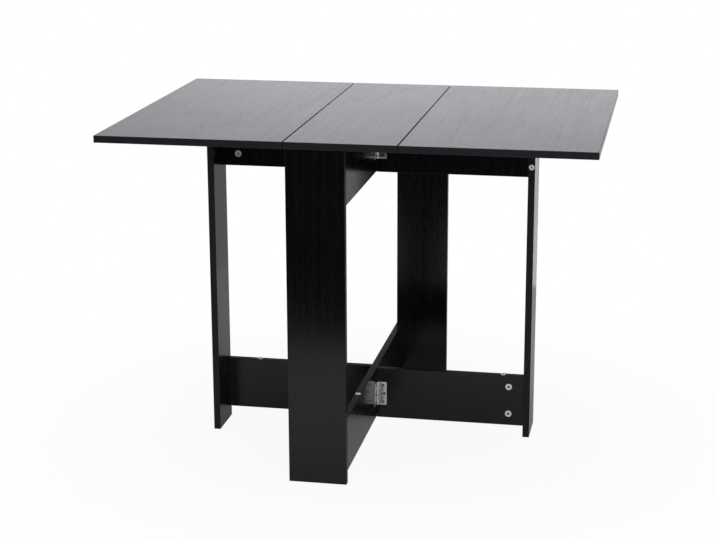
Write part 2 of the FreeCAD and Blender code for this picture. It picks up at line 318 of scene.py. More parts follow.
def board_finish(name, ground, streak, roughness, relief, shine):
    """Satin black foil with straight grain, short pores and arrises paler in patches, partly from
    wear and partly as a painted highlight.
    """
    finish, tree, shader = new_finish(name)
    grain = lay(tree, "ShaderNodeAttribute", attribute_name=GRAIN)["Vector"]
    arris = lay(tree, "ShaderNodeAttribute", attribute_name=ARRIS)["Fac"]
    streaks = noise(tree, grain, STREAK_SCALE, STREAK_OCTAVES, STREAK_NOISE)
    streaks = ranged(tree, streaks, *STREAK_RANGE)
    stripes = noise(tree, grain, STRIPE_SCALE, SOFT_OCTAVES)
    pores = ranged(tree, noise(tree, grain, PORE_SCALE, PIT_OCTAVES), *PORE_RANGE)
    touch = noise(tree, grain, TOUCH_SCALE, SOFT_OCTAVES)
    speckle = noise(tree, grain, SPECKLE_SCALE, PIT_OCTAVES)
    wear_and_highlight_noise = ranged(tree, noise(tree, grain, WEAR_AND_HIGHLIGHT_SCALE, SOFT_OCTAVES), *WEAR_AND_HIGHLIGHT_RANGE)
    wear_and_highlight = scaled(tree, arris, wear_and_highlight_noise)
    tone = added(tree, scaled(tree, stripes, 1 - STREAK_SHARE), streaks, STREAK_SHARE)
    colour = mixed(tree, tone, opaque(ground), opaque(streak))
    colour = mixed(tree, scaled(tree, pores, PORE_SHARE), colour, opaque(ground, PORE_SHADE))
    # Paler arris patches: partly wear, partly a painted highlight
    colour = mixed(tree, scaled(tree, wear_and_highlight, WEAR_AND_HIGHLIGHT_SHARE), colour, opaque(streak, WEAR_AND_HIGHLIGHT_PALENESS))
    rough = ranged(tree, touch, *MIDDLE, roughness - TOUCH_GLOSS, roughness + TOUCH_DULL)
    rough = added(tree, rough, pores, PORE_DULL)
    rough = added(tree, rough, streaks, STREAK_DULL)
    rough = added(tree, rough, wear_and_highlight, WEAR_DULL)
    height = added(tree, scaled(tree, streaks, STREAK_HEIGHT), pores, PORE_HEIGHT)
    height = added(tree, height, speckle, SPECKLE_HEIGHT)
    feed(tree, shader, {
        "Base Color": colour, "Roughness": rough, "IOR": FOIL_IOR, "Specular IOR Level": shine,
        "Specular Tint": FOIL_TINT, "Normal": bumped(tree, height, relief, FOIL_DEPTH)})
    return finish


# Metals: roughness, scales of the brushing and share of bare metal; the last entry is a dark
# painted shade for the fittings' recesses
METALS = {
    "nickel_sheet": (0.24, (1600, 1600, 70), 1.0),
    "browned_steel": (0.38, (900, 900, 900), 0.9),
    "cast_zinc": (0.4, (800, 800, 800), 0.6),
    "painted_shade_recess": (0.55, (900, 900, 900), 0.7),
}
# Dark colour painted into the recesses of screws, cam locks and plugs as shade
RECESS_SHADE_COLOUR = (0.07, 0.068, 0.065)
PATCH_SCALE, PATCH_SHADE = (140, 140, 140), 0.84
PIT_SCALE, PIT_RANGE = (1300, 1300, 1300), (0.6, 0.72)
PIT_SHARE, PIT_SHADE = 0.5, 0.4
BRUSH_GLOSS, BRUSH_DULL, PIT_DULL = 0.06, 0.08, 0.15
BRUSH_HEIGHT, PIT_HEIGHT = 0.4, -0.6
METAL_RELIEF, METAL_DEPTH = 0.35, 0.05 * MM


def metal_finish(name, colour, roughness, brush, metallic):
    """Plated or cast metal with fine brushing, dull patches and small pits."""
    finish, tree, shader = new_finish(name)
    place = lay(tree, "ShaderNodeTexCoord")["Object"]
    brushed = noise(tree, place, brush, SOFT_OCTAVES)
    patches = ranged(tree, noise(tree, place, PATCH_SCALE, MOTTLE_OCTAVES), *PATCHY)
    pits = ranged(tree, noise(tree, place, PIT_SCALE, PIT_OCTAVES), *PIT_RANGE)
    tone = mixed(tree, patches, opaque(colour), opaque(colour, PATCH_SHADE))
    tone = mixed(tree, scaled(tree, pits, PIT_SHARE), tone, opaque(colour, PIT_SHADE))
    rough = ranged(tree, brushed, *MIDDLE, roughness - BRUSH_GLOSS, roughness + BRUSH_DULL)
    rough = added(tree, rough, pits, PIT_DULL)
    height = added(tree, scaled(tree, brushed, BRUSH_HEIGHT), pits, PIT_HEIGHT)
    feed(tree, shader, {"Base Color": tone, "Metallic": metallic, "Roughness": rough,
                        "Normal": bumped(tree, height, METAL_RELIEF, METAL_DEPTH)})
    return finish


MOTTLE_SCALE, MOTTLE_SHADE, MOTTLE_ROUGHNESS = (260, 260, 260), 0.86, (0.3, 0.42)
PEEL_SCALE, PEEL_RELIEF, PEEL_DEPTH = (1100, 1100, 1100), 0.25, 0.04 * MM


def plug_finish(name, colour):
    """Moulded plastic with a faint mottle and fine orange peel."""
    finish, tree, shader = new_finish(name)
    place = lay(tree, "ShaderNodeTexCoord")["Object"]
    mottle = noise(tree, place, MOTTLE_SCALE, MOTTLE_OCTAVES)
    peel = noise(tree, place, PEEL_SCALE, PIT_OCTAVES)
    patches = ranged(tree, mottle, *PATCHY)
    tone = mixed(tree, patches, opaque(colour), opaque(colour, MOTTLE_SHADE))
    rough = ranged(tree, mottle, *MIDDLE, *MOTTLE_ROUGHNESS)
    feed(tree, shader, {"Base Color": tone, "Roughness": rough,
                        "Normal": bumped(tree, peel, PEEL_RELIEF, PEEL_DEPTH)})
    return finish


FLAKE_SCALE, FLAKE_RANGE = 420.0, (0.1, 0.8)
FIBRE_SCALE, FIBRE_SHARE = (700, 700, 2400), 0.4
PALE_FLAKE, DARK_FLAKE, FIBRE = (0.36, 0.24, 0.13), (0.14, 0.085, 0.045), (0.45, 0.33, 0.2)
FLAKE_ROUGHNESS, FLAKE_RELIEF, FLAKE_DEPTH = 0.85, 0.5, 0.3 * MM


def flake_finish(name):
    """Raw chipboard in the walls of the cam pockets."""
    finish, tree, shader = new_finish(name)
    place = lay(tree, "ShaderNodeTexCoord")["Object"]
    cells = lay(tree, "ShaderNodeTexVoronoi", {"Vector": place, "Scale": FLAKE_SCALE})
    flakes = cells["Distance"]
    fibres = noise(tree, place, FIBRE_SCALE, SOFT_OCTAVES)
    dark = ranged(tree, flakes, *FLAKE_RANGE)
    tone = mixed(tree, dark, opaque(PALE_FLAKE), opaque(DARK_FLAKE))
    tone = mixed(tree, scaled(tree, fibres, FIBRE_SHARE), tone, opaque(FIBRE))
    feed(tree, shader, {"Base Color": tone, "Roughness": FLAKE_ROUGHNESS,
                        "Normal": bumped(tree, flakes, FLAKE_RELIEF, FLAKE_DEPTH)})
    return finish


RING_SCALE = (900, 900, 22)
FLECK_SCALE, FLECK_RANGE, FLECK_SHARE = (1500, 1500, 160), (0.58, 0.68), 0.5
LATE_WOOD, EARLY_WOOD, FLECK = (0.52, 0.35, 0.2), (0.72, 0.54, 0.35), (0.36, 0.22, 0.12)
BEECH_ROUGHNESS, BEECH_RELIEF, BEECH_DEPTH = 0.7, 0.3, 0.1 * MM


def dowel_finish(name):
    """Raw beech with upright grain."""
    finish, tree, shader = new_finish(name)
    place = lay(tree, "ShaderNodeTexCoord")["Object"]
    rings = noise(tree, place, RING_SCALE, MOTTLE_OCTAVES)
    flecks = ranged(tree, noise(tree, place, FLECK_SCALE, PIT_OCTAVES), *FLECK_RANGE)
    tone = mixed(tree, rings, opaque(LATE_WOOD), opaque(EARLY_WOOD))
    tone = mixed(tree, scaled(tree, flecks, FLECK_SHARE), tone, opaque(FLECK))
    feed(tree, shader, {"Base Color": tone, "Roughness": BEECH_ROUGHNESS,
                        "Normal": bumped(tree, rings, BEECH_RELIEF, BEECH_DEPTH)})
    return finish


def finish_of(name):
    """Finish by its name, made when it is first asked for."""
    if name in bpy.data.materials:
        return bpy.data.materials[name]
    boards, fittings = settings().boards, settings().fittings
    if name == "grained_melamine":
        return board_finish(name, boards.face_colour, boards.streak_colour,
                            boards.gloss_roughness, FACE_RELIEF, FACE_SHINE)
    if name == "edge_band":
        ground = [part * BAND_SHADE for part in boards.band_colour]
        return board_finish(name, ground, boards.band_colour,
                            boards.band_roughness, BAND_RELIEF, BAND_SHINE)
    if name == "moulded_plug":
        return plug_finish(name, fittings.plug_colour)
    if name in METALS:
        colours = {"nickel_sheet": settings().hinges.colour, "cast_zinc": fittings.zinc_colour,
                   "browned_steel": fittings.screw_colour, "painted_shade_recess": RECESS_SHADE_COLOUR}
        return metal_finish(name, colours[name], *METALS[name])
    return {"raw_chipboard": flake_finish, "raw_beech": dowel_finish}[name](name)


def link(name, data):
    """New object of a mesh, a lamp or a lens."""
    obj = bpy.data.objects.new(name, data)
    bpy.context.scene.collection.objects.link(obj)
    return obj


def stand_for(obj, node):
    """Gives a finished piece its node's body, keeping its place in the table, and hides the node.
    """
    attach(obj, frame["nodes"][node]["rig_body"])
    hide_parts(node)
    return obj


def settle(obj):
    """Turns an object's modifiers into its plain mesh."""
    graph = bpy.context.evaluated_depsgraph_get()
    mesh = bpy.data.meshes.new_from_object(obj.evaluated_get(graph), depsgraph=graph)
    old = obj.data
    obj.modifiers.clear()
    obj.data = mesh
    mesh.name = obj.name
    bpy.data.meshes.remove(old)


def smooth(mesh):
    """Shades a mesh smooth except at its sharp edges."""
    mesh.shade_smooth()
    mesh.set_sharp_from_angle(angle=SMOOTH_LIMIT)


def mesh_from(bm, name, *finishes):
    mesh = bpy.data.meshes.new(name)
    bm.to_mesh(mesh)
    bm.free()
    for finish in finishes:
        mesh.materials.append(finish_of(finish))
    return mesh


def solids_of(node):
    """Corner points of each separate solid in a CAD node."""
    mesh = frame["nodes"][node].data
    keys = [tuple(round(c / WELD) for c in v.co) for v in mesh.vertices]
    above = {}

    def top(key):
        while above.get(key, key) != key:
            key = above[key]
        return key

    for face in mesh.polygons:
        first, *others = [keys[i] for i in face.vertices]
        for other in others:
            above[top(other)] = top(first)
    groups = {}
    for key, vertex in zip(keys, mesh.vertices):
        groups.setdefault(top(key), []).append(vertex.co.copy())
    return list(groups.values())


def extent(points):
    return (Vector(map(min, *points)), Vector(map(max, *points)))


def turning_axis(low, high):
    """The axis of a turned solid: the one whose extent is unlike the other two."""
    size = high - low
    return max(range(3), key=lambda a: abs(size[a] - (sum(size) - size[a]) / 2))


def inside(point, low, high, margin=0.0):
    return all(low[a] - margin <= point[a] <= high[a] + margin for a in range(3))


def end_seat(points, axis, outward):
    """Middle of a solid's end and the direction that the end faces."""
    low, high = extent(points)
    seat = (low + high) / 2
    seat[axis] = high[axis] if outward > 0 else low[axis]
    facing = Vector((0, 0, 0))
    facing[axis] = outward
    return seat, facing


def headed_seats(node):
    """Seats of fittings with a wide head: the head's outer end and where it faces."""
    seats = []
    for points in solids_of(node):
        low, high = extent(points)
        axis = turning_axis(low, high)
        middle = (low + high) / 2

        def spread(level):
            near = [p - middle for p in points if abs(p[axis] - level) < FLUSH]
            across = Vector([a != axis for a in range(3)])
            return sum((p * across).length for p in near) / len(near)

        seats.append(end_seat(points, axis, 1 if spread(high[axis]) > spread(low[axis]) else -1))
    return seats


def cam_seats(node):
    """Seats of cam locks, each with its board: the end that lies in the board's face."""
    seats = []
    for points in solids_of(node):
        low, high = extent(points)
        axis = turning_axis(low, high)
        board = next(b for b in BOARDS if inside((low + high) / 2, *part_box(b)))
        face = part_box(board)[1][axis]
        seats.append((*end_seat(points, axis, 1 if face - high[axis] < FLUSH else -1), board))
    return seats


def cut(obj, cutter):
    """Cuts one object with another and removes the cutter."""
    tool = obj.modifiers.new("pocket", "BOOLEAN")
    tool.operation = "DIFFERENCE"
    tool.solver = "EXACT"
    tool.material_mode = "TRANSFER"
    tool.object = cutter
    settle(obj)
    mesh = cutter.data
    bpy.data.objects.remove(cutter)
    bpy.data.meshes.remove(mesh)


POCKET_SIDES = 48
POCKET_LEAD = MM
FACE_SLOT, BAND_SLOT = 0, 1
ROUND_PROFILE = 0.5


def round_cutters(name, finish, places, far, near, depth, sides):
    """Turned cutters at some places, each facing its own way, with the radii of their ends."""
    bm = bmesh.new()
    for middle, facing in places:
        turn = facing.to_track_quat("Z", "Y").to_matrix().to_4x4()
        bmesh.ops.create_cone(bm, cap_ends=True, segments=sides, radius1=far, radius2=near,
                              depth=depth, matrix=Matrix.Translation(middle) @ turn)
    return link(name, mesh_from(bm, name, finish))


def pocket_cutters(seats, fittings, gap):
    """Cutters for the cam pockets of one board."""
    radius = fittings.cam_radius + gap
    depth = fittings.cam_depth + gap + POCKET_LEAD
    places = [(seat + facing * (POCKET_LEAD - depth / 2), facing) for seat, facing in seats]
    return round_cutters("pocket_cutters", "raw_chipboard", places, radius, radius, depth,
                         POCKET_SIDES)


def mark_grain(mesh, low, high, number):
    """Stores each point's place along and across the grain, which is upright in upright boards."""
    size = high - low
    order = sorted(range(3), key=lambda a: -size[a])
    if order[-1] != UP:
        order.remove(UP)
        order.insert(0, UP)
    centre = (low + high) / 2
    shift = GRAIN_SHIFT * number
    values = []
    for vertex in mesh.vertices:
        local = vertex.co - centre
        values.extend(local[axis] + shift[place] for place, axis in enumerate(order))
    mesh.attributes.new(GRAIN, "FLOAT_VECTOR", "POINT").data.foreach_set("vector", values)


def build_board(node):
    """One board: faces of melamine, edge bands, eased arrises and its cam pockets."""
    boards, fittings = settings().boards, settings().fittings
    low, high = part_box(node)
    size = high - low
    thin = min(range(3), key=lambda a: size[a])
    bm = bmesh.new()
    place = Matrix.Translation((low + high) / 2) @ Matrix.Diagonal((*size, 1.0))
    bmesh.ops.create_cube(bm, size=1.0, matrix=place)
    bmesh.ops.bevel(bm, geom=bm.edges[:], offset=boards.arris, segments=boards.arris_steps,
                    profile=ROUND_PROFILE, affect="EDGES")
    obj = link(node + "_panel", mesh_from(bm, node, "grained_melamine", "edge_band"))
    for face in obj.data.polygons:
        broad = abs(face.normal[thin]) > BOARD_AXIS_LIMIT
        face.material_index = FACE_SLOT if broad else BAND_SLOT
    seats = [s[:2] for lock in CAM_LOCKS for s in cam_seats(lock) if s[2] == node]
    if seats:
        cut(obj, pocket_cutters(seats, fittings, boards.pocket_gap))
    mesh = obj.data
    eased = []
    for face in mesh.polygons:
        flat = max(abs(c) for c in face.normal) > BOARD_AXIS_LIMIT
        eased.append(float(face.material_index == BAND_SLOT and not flat))
        face.use_smooth = not flat
    mesh.attributes.new(ARRIS, "FLOAT", "FACE").data.foreach_set("value", eased)
    mark_grain(mesh, low, high, BOARDS.index(node) + 1)
    return stand_for(obj, node)


ROLL_STEPS = 22
BLEND_STEPS = 4
CORNER_STEPS = 5
HOLE_SIDES = 28
HOLE_LEAD = 0.2 * MM
SHEET_ARRIS = 0.12 * MM
SHEET_ARRIS_STEPS = 2
SHEET_ARRIS_ANGLE = math.radians(60)


def hinge_place(pin_node, plate_node):
    """Hinge axes at the pin's middle, out along the plate, off the board's face and along the pin,
    with the plate's reach and the pin's length."""
    pin_low, pin_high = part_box(pin_node)
    low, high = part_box(plate_node)
    pin = (pin_low + pin_high) / 2
    size = pin_high - pin_low
    along = max(range(3), key=lambda a: size[a])
    others = [a for a in range(3) if a != along]
    out = max(others, key=lambda a: max(high[a] - pin[a], pin[a] - low[a]))
    off = next(a for a in others if a != out)
    outward, normal = Vector((0, 0, 0)), Vector((0, 0, 0))
    outward[out] = 1 if high[out] - pin[out] > pin[out] - low[out] else -1
    normal[off] = 1 if pin[off] - low[off] > high[off] - pin[off] else -1
    axes = Matrix((outward, normal, outward.cross(normal))).transposed().to_4x4()
    reach = max(high[out] - pin[out], pin[out] - low[out])
    return Matrix.Translation(pin) @ axes, reach, size[along]


def sheet_path(hinge, reach):
    """Middle line of the hinge sheet: along the plate and round the pin."""
    flat = hinge.sheet / 2 - hinge.seat_offset
    turn = hinge.barrel - hinge.sheet / 2
    path = [Vector((reach, flat)), Vector((hinge.seat_offset, flat))]
    for step in range(1, BLEND_STEPS + 1):
        share = step / BLEND_STEPS
        ease = (1 - math.cos(math.pi * share)) / 2
        path.append(Vector((hinge.seat_offset * (1 - share), flat + (-turn - flat) * ease)))
    for step in range(1, ROLL_STEPS + 1):
        angle = -math.pi / 2 - hinge.roll_turn * step / ROLL_STEPS
        path.append(Vector((turn * math.cos(angle), turn * math.sin(angle))))
    return path


def sheet_sides(path, thickness):
    """Outer and inner lines of a sheet along its middle line."""
    outer, inner = [], []
    for index, point in enumerate(path):
        before, after = path[max(index - 1, 0)], path[min(index + 1, len(path) - 1)]
        run = (after - before).normalized()
        normal = Vector((run.y, -run.x)) * (thickness / 2)
        outer.append(point - normal)
        inner.append(point + normal)
    return outer, inner


def rolled_sheet(hinge, reach, length, knuckles, owned):
    """One stamping: a plate whose fingers are rolled into knuckles round the pin."""
    sides = sheet_sides(sheet_path(hinge, reach), hinge.sheet)
    base, pitch = -length / 2, length / knuckles
    levels = [base]
    for index in range(1, knuckles):
        middle = base + index * pitch
        levels += [middle - hinge.knuckle_gap / 2, middle + hinge.knuckle_gap / 2]
    levels.append(-base)
    columns, rows = len(sides[0]) - 1, len(levels) - 1

    def there(column, row):
        if not (0 <= column < columns and 0 <= row < rows):
            return False
        return column == 0 or (row % 2 == 0 and row // 2 in owned)

    bm = bmesh.new()
    points = {}

    def point(side, column, row):
        key = side, column, row
        if key not in points:
            points[key] = bm.verts.new((*sides[side][column], levels[row]))
        return points[key]

    def wall(*corners):
        bm.faces.new([point(side, *corner) for side, corner in zip((0, 0, 1, 1), corners)])

    for column in range(columns):
        for row in range(rows):
            if not there(column, row):
                continue
            ring = [(column, row), (column + 1, row), (column + 1, row + 1), (column, row + 1)]
            for side in (0, 1):
                bm.faces.new([point(side, *corner) for corner in ring])
            beyond = [(column, row - 1), (column + 1, row), (column, row + 1), (column - 1, row)]
            for index, neighbour in enumerate(beyond):
                if not there(*neighbour):
                    near, far = ring[index], ring[(index + 1) % len(ring)]
                    wall(near, far, far, near)
    bmesh.ops.recalc_face_normals(bm, faces=bm.faces[:])
    corners = [
        e for e in bm.edges
        if all(abs(v.co.x - reach) < WELD and abs(abs(v.co.z) + base) < WELD for v in e.verts)
        and abs(e.verts[0].co.z - e.verts[1].co.z) < WELD
    ]
    bmesh.ops.bevel(bm, geom=corners, offset=hinge.corner, segments=CORNER_STEPS,
                    profile=ROUND_PROFILE, affect="EDGES")
    return bm


def hole_cutters(hinge, fittings, holes):
    """Cutters for the countersinks of one plate."""
    depth = hinge.sheet + 2 * HOLE_LEAD
    slope = (fittings.screw_head - fittings.screw_shank) / hinge.sheet
    wide = fittings.screw_head + slope * HOLE_LEAD + SHEET_ARRIS
    narrow = fittings.screw_shank - slope * HOLE_LEAD + SHEET_ARRIS
    level = hinge.sheet / 2 - hinge.seat_offset
    places = [(Vector((hole.x, level, hole.z)), Vector((0, 1, 0))) for hole in holes]
    return round_cutters("hole_cutters", "nickel_sheet", places, narrow, wide, depth, HOLE_SIDES)


def build_plate(hinge_name, plate, knuckles, owned):
    """One hinge plate with its rolled knuckles and countersunk holes."""
    hinge, fittings = settings().hinges, settings().fittings
    node = f"{hinge_name}_{plate}"
    place, reach, length = hinge_place(hinge_name + "_pin", node)
    bm = rolled_sheet(hinge, reach, length, knuckles, owned)
    obj = link(node + "_stamping", mesh_from(bm, node, "nickel_sheet"))
    soften = obj.modifiers.new("arris", "BEVEL")
    soften.width = SHEET_ARRIS
    soften.segments = SHEET_ARRIS_STEPS
    soften.limit_method = "ANGLE"
    soften.angle_limit = SHEET_ARRIS_ANGLE
    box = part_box(node)
    seats = [seat for screws in HINGE_SCREWS for seat, _ in headed_seats(screws)]
    holes = [place.inverted() @ seat for seat in seats if inside(seat, *box, FLUSH)]
    cut(obj, hole_cutters(hinge, fittings, holes))
    obj.data.transform(place)
    smooth(obj.data)
    return stand_for(obj, node)


CUT_LEAD = 0.2 * MM

# Sides of the turned parts
HEAD_SIDES, SHANK_SIDES, BORE_SIDES = 28, 16, 20
DRUM_SIDES, BOSS_SIDES, CAM_BORE_SIDES = 48, 40, 32
PLUG_SIDES, STEM_SIDES, SOCKET_SIDES = 40, 24, 6

# How far down its head a shank or a stem begins, and how far past its drum a cam's cone reaches
SHANK_START, STEM_START = 0.9, 0.95
CONE_REACH = 1.2

# A recess is painted dark as shade from just under the face or the dish to just under its floor
FACE_LIP = 0.05 * MM
DISH_LIP, FLOOR_LIP = 1.2, 1.1


def fitting_tree(name, sizes):
    """New tree for a fitting, with its sizes, seed and finishes as inputs: its own finish and the
    painted shade of its recess.
    """
    tree = bpy.data.node_groups.new(name, "GeometryNodeTree")

    def socket(label, kind, way="INPUT"):
        return tree.interface.new_socket(label, in_out=way, socket_type="NodeSocket" + kind)

    socket("Seats", "Geometry")
    for label, value in sizes.items():
        size = socket(label, "Float")
        size.default_value = value
        size.subtype = "DISTANCE"
    socket("Seed", "Int")
    socket("Finish", "Material")
    socket("Painted Shade Finish", "Material")
    socket("Fittings", "Geometry", "OUTPUT")
    return tree, lay(tree, "NodeGroupInput")


def stored(tree, name, kind):
    return lay(tree, "GeometryNodeInputNamedAttribute", {"Name": name}, data_type=kind)[0]


def in_recess(tree, radius, top, floor):
    """True nearer to the axis than a radius and between two depths."""
    place = lay(tree, "GeometryNodeInputPosition")[0]
    level = lay(tree, "ShaderNodeSeparateXYZ", {0: place})["Z"]
    across = lay(tree, "ShaderNodeVectorMath", {0: place, 1: (1, 1, 0)}, operation="MULTIPLY")
    away = lay(tree, "ShaderNodeVectorMath", {0: across[0]}, operation="LENGTH")
    depth = scaled(tree, level, -1.0)
    near = maths(tree, "LESS_THAN", away["Value"], radius)
    under = maths(tree, "GREATER_THAN", depth, top)
    over = maths(tree, "LESS_THAN", depth, floor)
    return scaled(tree, scaled(tree, near, under), over)


def set_on_seats(tree, given, shape):
    """Sets a shape on every seat, facing as the seat does and turned at random."""
    upright = lay(tree, "FunctionNodeAlignRotationToVector", {
        "Vector": stored(tree, FACING, "FLOAT_VECTOR")}, axis="Z")
    turn = lay(tree, "FunctionNodeRandomValue", {"Seed": given["Seed"]}, data_type="FLOAT")
    about = lay(tree, "ShaderNodeCombineXYZ", {"Z": scaled(tree, turn[1], math.pi)})
    spin = lay(tree, "FunctionNodeEulerToRotation", {0: about[0]})
    turned = lay(tree, "FunctionNodeRotateRotation", {
        "Rotation": upright[0], "Rotate By": spin[0]}, rotation_space="LOCAL")
    placed = lay(tree, "GeometryNodeInstanceOnPoints", {
        "Points": given["Seats"], "Instance": shape, "Rotation": turned[0]})
    return lay(tree, "GeometryNodeRealizeInstances", {0: placed[0]})[0]


def close_tree(tree, given, shape, radius, top, floor):
    """Ends a tree: marks the shape's recess, sets it on the seats and gives it its finish, with a
    dark painted shade in the recess.
    """
    clean = lay(tree, "GeometryNodeMergeByDistance", {"Geometry": shape, "Distance": WELD})
    marked = lay(tree, "GeometryNodeStoreNamedAttribute", {
        "Geometry": clean[0], "Name": RECESS,
        "Value": in_recess(tree, radius, top, floor)}, data_type="BOOLEAN", domain="FACE")
    real = set_on_seats(tree, given, marked[0])
    dressed = lay(tree, "GeometryNodeSetMaterial", {"Geometry": real, "Material": given["Finish"]})
    dressed = lay(tree, "GeometryNodeSetMaterial", {
        "Geometry": dressed[0], "Selection": stored(tree, RECESS, "BOOLEAN"),
        "Material": given["Painted Shade Finish"]})
    lay(tree, "NodeGroupOutput", {"Fittings": dressed[0]})


def turned_part(tree, wide, narrow, depth, top, sides):
    """Turned length whose upper end, of radius wide, lies at the level top."""
    cone = lay(tree, "GeometryNodeMeshCone", {
        "Vertices": sides, "Radius Top": wide, "Radius Bottom": narrow, "Depth": depth})
    shift = lay(tree, "ShaderNodeCombineXYZ", {"Z": maths(tree, "SUBTRACT", top, depth)})
    return lay(tree, "GeometryNodeTransform", {
        "Geometry": cone["Mesh"], "Translation": shift[0]})[0]


def sunk_part(tree, wide, narrow, depth, sides):
    """Turned cutter that sinks from a little above the level zero."""
    whole = maths(tree, "ADD", depth, CUT_LEAD)
    return turned_part(tree, wide, narrow, whole, CUT_LEAD, sides)


def cross_slot(tree, given):
    """Two blades that cut a cross, reaching as far above the level zero as below it."""
    length, width = given["Slot Length"], given["Slot Width"]
    height = scaled(tree, given["Slot Depth"], 2.0)
    blades = []
    for run, across in ((length, width), (width, length)):
        size = lay(tree, "ShaderNodeCombineXYZ", {"X": run, "Y": across, "Z": height})
        blade = lay(tree, "GeometryNodeMeshCube", {"Size": size[0]})
        blades.append(blade["Mesh"])
    return blades


def combined(tree, operation, shapes):
    return lay(tree, "GeometryNodeMeshBoolean", shapes, operation=operation, solver="EXACT")[0]


def joined(tree, *shapes):
    return combined(tree, "UNION", {1: list(shapes)})


def shared(tree, *shapes):
    return combined(tree, "INTERSECT", {1: list(shapes)})


def carved(tree, shape, *cutters):
    return combined(tree, "DIFFERENCE", {0: shape, 1: list(cutters)})


def screw_tree(fittings, sheet):
    """Countersunk screw with a cross slot."""
    radius = fittings.screw_head
    tree, given = fitting_tree("countersunk_screws", {
        "Head": radius, "Head Depth": sheet, "Shank": fittings.screw_shank,
        "Tip": 0.5 * MM, "Shank Length": fittings.screw_length - sheet,
        "Bore": 0.42 * radius, "Bore Floor": 0.2 * radius, "Bore Depth": 1.2 * MM,
        "Slot Length": 1.6 * radius, "Slot Width": 1.0 * MM, "Slot Depth": 1.0 * MM})
    head = turned_part(tree, given["Head"], given["Shank"], given["Head Depth"], 0.0, HEAD_SIDES)
    start = scaled(tree, given["Head Depth"], -SHANK_START)
    shank = turned_part(tree, given["Shank"], given["Tip"], given["Shank Length"], start,
                        SHANK_SIDES)
    bore = sunk_part(tree, given["Bore"], given["Bore Floor"], given["Bore Depth"], BORE_SIDES)
    shape = carved(tree, joined(tree, head, shank), bore, *cross_slot(tree, given))
    close_tree(tree, given, shape, given["Slot Length"], FACE_LIP,
               scaled(tree, given["Bore Depth"], FLOOR_LIP))
    return tree


def cam_tree(fittings):
    """Cam lock with a raised rim and a cross slot in its dished face."""
    radius = fittings.cam_radius
    tree, given = fitting_tree("cam_locks", {
        "Radius": radius, "Depth": fittings.cam_depth, "Bevel": 0.35 * MM,
        "Dish Radius": 0.8 * radius, "Dish Floor": 0.7 * radius, "Dish": 0.5 * MM,
        "Boss": 0.62 * radius, "Boss Top": 0.58 * radius, "Boss Drop": 0.15 * MM,
        "Bore": 0.38 * radius, "Bore Floor": 0.34 * radius, "Bore Depth": 5.2 * MM,
        "Slot Length": 0.98 * radius, "Slot Width": 1.7 * MM, "Slot Depth": 4.5 * MM})
    inner = maths(tree, "SUBTRACT", given["Radius"], given["Bevel"])
    reach = scaled(tree, given["Depth"], CONE_REACH)
    drum = sunk_part(tree, given["Radius"], given["Radius"], given["Depth"], DRUM_SIDES)
    cone = turned_part(tree, inner, maths(tree, "ADD", inner, reach), reach, 0.0, DRUM_SIDES)
    dish = sunk_part(tree, given["Dish Radius"], given["Dish Floor"], given["Dish"], DRUM_SIDES)
    boss = turned_part(tree, given["Boss Top"], given["Boss"], given["Dish"],
                       scaled(tree, given["Boss Drop"], -1.0), BOSS_SIDES)
    bore = sunk_part(tree, given["Bore"], given["Bore Floor"], given["Bore Depth"], CAM_BORE_SIDES)
    body = joined(tree, carved(tree, shared(tree, drum, cone), dish), boss)
    close_tree(tree, given, carved(tree, body, bore, *cross_slot(tree, given)),
               given["Dish Floor"], scaled(tree, given["Dish"], DISH_LIP),
               scaled(tree, given["Bore Depth"], FLOOR_LIP))
    return tree


def plug_tree(fittings):
    """Edge plug with a bevelled, dished head, a socket and a stem."""
    radius = fittings.plug_radius
    tree, given = fitting_tree("edge_plugs", {
        "Radius": radius, "Top Radius": 0.86 * radius, "Height": fittings.plug_height,
        "Dish Radius": 0.62 * radius, "Dish Floor": 0.5 * radius, "Dish": 0.3 * MM,
        "Socket": 0.34 * radius, "Socket Floor": 0.3 * radius, "Socket Depth": 2.4 * MM,
        "Stem": 2.45 * MM, "Stem Length": 3.95 * MM})
    head = turned_part(tree, given["Top Radius"], given["Radius"], given["Height"], 0.0, PLUG_SIDES)
    start = scaled(tree, given["Height"], -STEM_START)
    stem = turned_part(tree, given["Stem"], given["Stem"], given["Stem Length"], start, STEM_SIDES)
    dish = sunk_part(tree, given["Dish Radius"], given["Dish Floor"], given["Dish"], PLUG_SIDES)
    socket = sunk_part(tree, given["Socket"], given["Socket Floor"], given["Socket Depth"],
                       SOCKET_SIDES)
    close_tree(tree, given, carved(tree, joined(tree, head, stem), dish, socket),
               given["Dish Floor"], scaled(tree, given["Dish"], DISH_LIP),
               scaled(tree, given["Socket Depth"], FLOOR_LIP))
    return tree


def fit_on_seats(node, seats, tree, suffix, finish):
    """Fills one node's seats through a tree, as one plain mesh on the node's body."""
    mesh = bpy.data.meshes.new(node)
    mesh.from_pydata([seat for seat, _ in seats], [], [])
    facing = mesh.attributes.new(FACING, "FLOAT_VECTOR", "POINT")
    facing.data.foreach_set("vector", [c for _, direction in seats for c in direction])
    obj = link(f"{node}_{suffix}", mesh)
    maker = obj.modifiers.new(suffix, "NODES")
    maker.node_group = tree
    sockets = tree.interface.items_tree
    keys = {socket.name: socket.identifier for socket in sockets if socket.in_out == "INPUT"}
    maker[keys["Seed"]] = settings().fittings.seed
    maker[keys["Finish"]] = finish_of(finish)
    # The recess faces get the dark painted shade finish
    maker[keys["Painted Shade Finish"]] = finish_of("painted_shade_recess")
    settle(obj)
    smooth(obj.data)
    return stand_for(obj, node)


def dress_node(node, finish):
    """Gives a CAD node that stays in view or in a hole its finish."""
    materials = frame["nodes"][node].data.materials
    materials.clear()
    materials.append(finish_of(finish))


